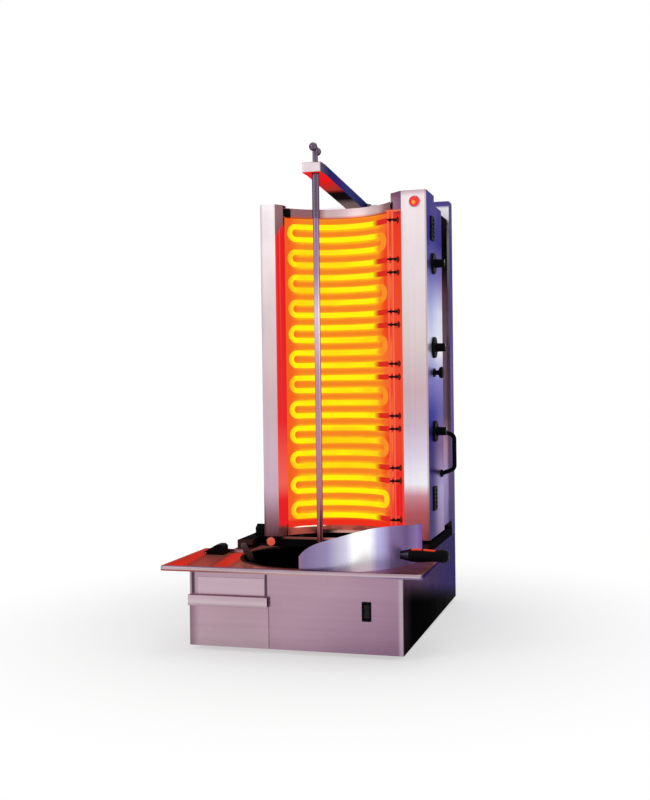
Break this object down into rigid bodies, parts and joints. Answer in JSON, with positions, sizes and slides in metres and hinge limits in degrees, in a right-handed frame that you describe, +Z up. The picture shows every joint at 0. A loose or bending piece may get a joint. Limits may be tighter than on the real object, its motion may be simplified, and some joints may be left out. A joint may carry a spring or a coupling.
{
  "type": "electric vertical doner kebab grill",
  "caption": "Upright electric grill with a motor-driven spit under an overhead arm, a sliding heater head with serpentine glowing elements, a drip pan, a tray with a guard and a grease drawer.",
  "frame": {"origin": "centre of the underside of the base; the rubber feet reach 10 mm below it", "axes": "+X to the right as seen by the cook, +Y from the front to the back, +Z up"},
  "size_m": [0.6366, 0.77, 1.175],
  "materials": {
    "casing_steel": "satin stainless sheet",
    "tray_steel": "brushed stainless sheet with fine scratches",
    "pan_steel": "spun stainless, darkened by use",
    "guard_steel": "rolled stainless sheet",
    "reflector_steel": "bright sheet lit by the elements",
    "bright_steel": "polished",
    "arm_steel": "satin bar",
    "drive_steel": "turned",
    "zinc_steel": "zinc plated",
    "bush_brass": "turned",
    "heating_tube": "oxidised alloy tube, glowing",
    "dark_ceramic": "fired ceramic",
    "black_plastic": "moulded, fine grain",
    "black_paint": "black enamel",
    "lens_red": "translucent, lit",
    "rubber": "moulded",
    "motor_paint": "stoved enamel",
    "gear_case": "cast",
    "terminal_plastic": "moulded"
  },
  "bodies": {
    "base": {"base_shell": "casing_steel", "base_deck": "casing_steel", "upper_front_panel": "casing_steel", "feet": "rubber", "worktop": "tray_steel", "drip_pan": "pan_steel", "catch_pin": "drive_steel", "runners": "zinc_steel", "rocker_frame": "black_plastic", "gearbox": "gear_case", "motor": "motor_paint", "arm": "arm_steel", "arm_bush": "bush_brass", "arm_saddle": "arm_steel", "rear_housing": "casing_steel", "back_cover": "casing_steel", "sleeve": "casing_steel", "rails": "zinc_steel", "terminal_block": "terminal_plastic", "cable_gland": "black_plastic", "fixings": "zinc_steel"},
    "spit": {"drive_socket": "drive_steel", "spit_rod": "bright_steel"},
    "pin": {"top_pin": "bright_steel", "tommy_bar": "bright_steel"},
    "guard": {"guard": "guard_steel", "guard_ferrule": "bright_steel", "guard_grip": "black_plastic"},
    "catch": {"tray_catch": "black_plastic"},
    "drawer": {"drawer_box": "pan_steel", "drawer_front": "casing_steel"},
    "rocker": {"rocker": "black_plastic"},
    "heater_head": {"left_post": "casing_steel", "control_column": "casing_steel", "side_panel": "casing_steel", "head_casing": "casing_steel", "top_band": "casing_steel", "bottom_band": "casing_steel", "reflector": "reflector_steel", "element_1": "heating_tube", "element_2": "heating_tube", "element_3": "heating_tube", "element_4": "heating_tube", "element_5": "heating_tube", "element_6": "heating_tube", "element_collars": "dark_ceramic", "element_rods": "drive_steel", "lamp_bezels": "bright_steel", "lamp_lenses": "lens_red", "panel_switches": "black_plastic", "side_grilles": "black_paint", "bow_handle": "black_plastic", "carriage": "zinc_steel", "carriage_fascia": "black_paint", "lock_nut": "zinc_steel"},
    "dial_upper": {"dial_1": "black_plastic"},
    "dial_middle": {"dial_2": "black_plastic"},
    "dial_lower": {"dial_3": "black_plastic"},
    "button": {"stop_button": "black_plastic"},
    "knob": {"lock_knob": "black_plastic"}
  },
  "joints": [
    {"name": "spit_turn", "type": "hinge", "parent": "base", "child": "spit", "pos_m": [0.004, -0.145, 0.18], "axis": [0, 0, 1], "continuous": true},
    {"name": "pin_lift", "type": "slide", "parent": "base", "child": "pin", "axis": [0, 0, 1], "range_m": [0, 0.045]},
    {"name": "guard_swing", "type": "hinge", "parent": "base", "child": "guard", "pos_m": [0.012, -0.145, 0.17], "axis": [0, 0, 1], "range_deg": [-40, 0]},
    {"name": "catch_lift", "type": "hinge", "parent": "base", "child": "catch", "pos_m": [-0.279, -0.162, 0.1839], "axis": [0, -1, 0], "range_deg": [0, 60]},
    {"name": "drawer_slide", "type": "slide", "parent": "base", "child": "drawer", "axis": [0, -1, 0], "range_m": [0, 0.22]},
    {"name": "rocker_tilt", "type": "hinge", "parent": "base", "child": "rocker", "pos_m": [0.1675, -0.342, 0.094], "axis": [1, 0, 0], "range_deg": [-8, 8]},
    {"name": "head_slide", "type": "slide", "parent": "base", "child": "heater_head", "axis": [0, 1, 0], "range_m": [-0.04, 0.04]},
    {"name": "dial_upper_turn", "type": "hinge", "parent": "heater_head", "child": "dial_upper", "pos_m": [0.25, 0.052, 0.891], "axis": [-1, 0, 0], "range_deg": [0, 270]},
    {"name": "dial_middle_turn", "type": "hinge", "parent": "heater_head", "child": "dial_middle", "pos_m": [0.25, 0.052, 0.681], "axis": [-1, 0, 0], "range_deg": [0, 270]},
    {"name": "dial_lower_turn", "type": "hinge", "parent": "heater_head", "child": "dial_lower", "pos_m": [0.25, 0.052, 0.471], "axis": [-1, 0, 0], "range_deg": [0, 270]},
    {"name": "button_press", "type": "slide", "parent": "heater_head", "child": "button", "axis": [-1, 0, 0], "range_m": [0, 0.005], "stiffness_N_per_m": 400},
    {"name": "knob_turn", "type": "hinge", "parent": "heater_head", "child": "knob", "pos_m": [-0.177, -0.01, 0.219], "axis": [1, 0, 0], "range_deg": [0, 120]}
  ]
}
